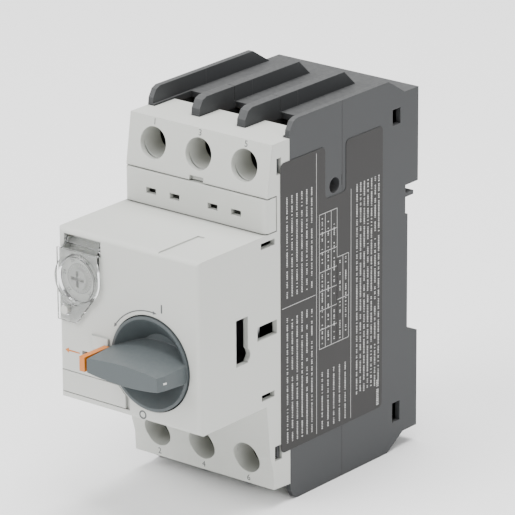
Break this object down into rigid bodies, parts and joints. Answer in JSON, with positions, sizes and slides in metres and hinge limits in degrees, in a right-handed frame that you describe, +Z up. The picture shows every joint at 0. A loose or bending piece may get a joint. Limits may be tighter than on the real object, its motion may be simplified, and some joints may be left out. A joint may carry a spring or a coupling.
{
  "type": "motor protection breaker",
  "caption": "Rail-mounted motor protection breaker with a rotary handle, current dial under a clear flap, phase barriers and clamp terminals above and below.",
  "frame": {"origin": "middle of the seat face that lies on the front of the 35 mm rail, on the rail's centre line", "axes": "+X to the right seen from the front, +Y from the handle towards the rail, +Z up"},
  "size_m": [0.0451, 0.0982, 0.1],
  "materials": {
    "cover_plastic": "fine matt moulding",
    "housing_plastic": "fine matt moulding",
    "label_print": "printed film",
    "knob_plastic": "satin",
    "tab_plastic": "satin",
    "latch_plastic": "matt",
    "clear_plastic": "clear polycarbonate",
    "insulator": "matt",
    "steel": "zinc plated",
    "screw_steel": "zinc plated",
    "spring_steel": "bright wire",
    "brass": "satin",
    "copper": "satin"
  },
  "bodies": {
    "housing": {"base_housing": "housing_plastic", "middle_housing": "housing_plastic", "front_cover": "cover_plastic", "rating_label": "label_print", "marking_plate": "cover_plastic", "mechanism_frame": "steel", "line_terminal_1": "copper", "line_terminal_2": "copper", "line_terminal_3": "copper", "load_contacts": "copper", "load_terminal_1": "copper", "load_terminal_2": "copper", "load_terminal_3": "copper", "coils": "copper", "coil_bobbins": "insulator", "coil_yokes": "steel", "bimetals": "steel", "heater_windings": "copper", "arc_plates": "steel", "arc_holders": "insulator", "plunger_springs": "spring_steel", "din_latch_spring": "spring_steel", "toggle_spring": "spring_steel", "trip_bar_spring": "spring_steel"},
    "handle": {"knob": "knob_plastic", "knob_shaft": "insulator"},
    "padlock_tab": {"lock_tab": "tab_plastic"},
    "drive": {"drive_slider": "insulator"},
    "carrier": {"contact_carrier": "insulator", "contact_bridge_1": "copper", "contact_bridge_2": "copper", "contact_bridge_3": "copper", "contact_springs": "spring_steel"},
    "trip": {"trip_bar": "insulator"},
    "latch": {"latch_lever": "steel"},
    "test": {"test_slider": "tab_plastic"},
    "thermal_slider": {"trip_slider": "insulator"},
    "loss_slider": {"differential_slider": "insulator"},
    "dial": {"adjustment_dial": "cover_plastic"},
    "adjuster": {"adjust_lever": "insulator"},
    "releaser": {"release_lever": "steel"},
    "dial_flap": {"dial_cover": "clear_plastic"},
    "aux_strip": {"aux_cover": "cover_plastic"},
    "rail_latch": {"din_latch": "latch_plastic"},
    "striker_1": {"plunger_1": "steel"},
    "striker_2": {"plunger_2": "steel"},
    "striker_3": {"plunger_3": "steel"},
    "line_clamping_1": {"line_screw_1": "screw_steel", "line_clamp_1": "brass"},
    "line_clamping_2": {"line_screw_2": "screw_steel", "line_clamp_2": "brass"},
    "line_clamping_3": {"line_screw_3": "screw_steel", "line_clamp_3": "brass"},
    "load_clamping_1": {"load_screw_1": "screw_steel", "load_clamp_1": "brass"},
    "load_clamping_2": {"load_screw_2": "screw_steel", "load_clamp_2": "brass"},
    "load_clamping_3": {"load_screw_3": "screw_steel", "load_clamp_3": "brass"}
  },
  "joints": [
    {"name": "knob_turn", "type": "hinge", "parent": "housing", "child": "handle", "pos_m": [0.0069, -0.0833, -0.0064], "axis": [0, 1, 0], "range_deg": [0, 90]},
    {"name": "lock_tab_slide", "type": "slide", "parent": "handle", "child": "padlock_tab", "axis": [-1, 0, 0], "range_m": [0, 0.006]},
    {"name": "drive_slide", "type": "slide", "parent": "housing", "child": "drive", "axis": [0, 0, 1], "range_m": [0, 0.00707], "deforming": ["toggle_spring"]},
    {"name": "carrier_slide", "type": "slide", "parent": "housing", "child": "carrier", "axis": [0, 1, 0], "range_m": [0, 0.003]},
    {"name": "test_slide", "type": "slide", "parent": "housing", "child": "test", "axis": [-1, 0, 0], "range_m": [0, 0.002], "stiffness_N_per_m": 200},
    {"name": "trip_slide", "type": "slide", "parent": "housing", "child": "thermal_slider", "axis": [-1, 0, 0], "range_m": [0, 0.002]},
    {"name": "loss_slide", "type": "slide", "parent": "housing", "child": "loss_slider", "axis": [-1, 0, 0], "range_m": [0, 0.0012]},
    {"name": "release_turn", "type": "hinge", "parent": "adjuster", "child": "releaser", "pos_m": [-0.0106, -0.072, 0.0012], "axis": [0, 1, 0], "range_deg": [0, 20]},
    {"name": "trip_bar_turn", "type": "hinge", "parent": "housing", "child": "trip", "pos_m": [0, -0.0515, 0.006], "axis": [1, 0, 0], "range_deg": [0, 12]},
    {"name": "latch_turn", "type": "hinge", "parent": "housing", "child": "latch", "pos_m": [-0.005, -0.0615, 0.009], "axis": [1, 0, 0], "range_deg": [0, 10]},
    {"name": "dial_turn", "type": "hinge", "parent": "housing", "child": "dial", "pos_m": [-0.0154, -0.0833, 0.0108], "axis": [0, 1, 0], "range_deg": [0, 270]},
    {"name": "adjust_turn", "type": "hinge", "parent": "housing", "child": "adjuster", "pos_m": [-0.0106, -0.075, 0.0012], "axis": [0, 1, 0], "range_deg": [0, 6]},
    {"name": "dial_cover_turn", "type": "hinge", "parent": "housing", "child": "dial_flap", "pos_m": [-0.0145, -0.0824, 0.0198], "axis": [-1, 0, 0], "range_deg": [0, 90]},
    {"name": "aux_cover_pull", "type": "slide", "parent": "housing", "child": "aux_strip", "axis": [0, -1, 0], "range_m": [0, 0.03]},
    {"name": "rail_latch_slide", "type": "slide", "parent": "housing", "child": "rail_latch", "axis": [0, 0, -1], "range_m": [0, 0.003], "stiffness_N_per_m": 1500, "springref_m": -0.001, "deforming": ["din_latch_spring"]},
    {"name": "striker_1_slide", "type": "slide", "parent": "housing", "child": "striker_1", "axis": [0, -1, 0], "range_m": [0, 0.0018], "stiffness_N_per_m": 150},
    {"name": "striker_2_slide", "type": "slide", "parent": "housing", "child": "striker_2", "axis": [0, -1, 0], "range_m": [0, 0.0018], "stiffness_N_per_m": 150},
    {"name": "striker_3_slide", "type": "slide", "parent": "housing", "child": "striker_3", "axis": [0, -1, 0], "range_m": [0, 0.0018], "stiffness_N_per_m": 150},
    {"name": "line_clamp_1_slide", "type": "slide", "parent": "housing", "child": "line_clamping_1", "axis": [0, 1, 0], "range_m": [0, 0.006]},
    {"name": "line_clamp_2_slide", "type": "slide", "parent": "housing", "child": "line_clamping_2", "axis": [0, 1, 0], "range_m": [0, 0.006]},
    {"name": "line_clamp_3_slide", "type": "slide", "parent": "housing", "child": "line_clamping_3", "axis": [0, 1, 0], "range_m": [0, 0.006]},
    {"name": "load_clamp_1_slide", "type": "slide", "parent": "housing", "child": "load_clamping_1", "axis": [0, 1, 0], "range_m": [0, 0.006]},
    {"name": "load_clamp_2_slide", "type": "slide", "parent": "housing", "child": "load_clamping_2", "axis": [0, 1, 0], "range_m": [0, 0.006]},
    {"name": "load_clamp_3_slide", "type": "slide", "parent": "housing", "child": "load_clamping_3", "axis": [0, 1, 0], "range_m": [0, 0.006]}
  ],
  "couplings": [
    {"joint": "knob_turn", "follows": "drive_slide", "rad_per_m": 222.15},
    {"joint": "carrier_slide", "follows": "drive_slide", "ratio": 0.42426},
    {"joint": "trip_slide", "follows": "test_slide", "ratio": 1},
    {"joint": "loss_slide", "follows": "test_slide", "ratio": 0.6},
    {"joint": "release_turn", "follows": "test_slide", "rad_per_m": 174.53},
    {"joint": "trip_bar_turn", "follows": "test_slide", "rad_per_m": 104.72},
    {"joint": "latch_turn", "follows": "test_slide", "rad_per_m": 87.266},
    {"joint": "adjust_turn", "follows": "dial_turn", "ratio": 0.022222}
  ]
}
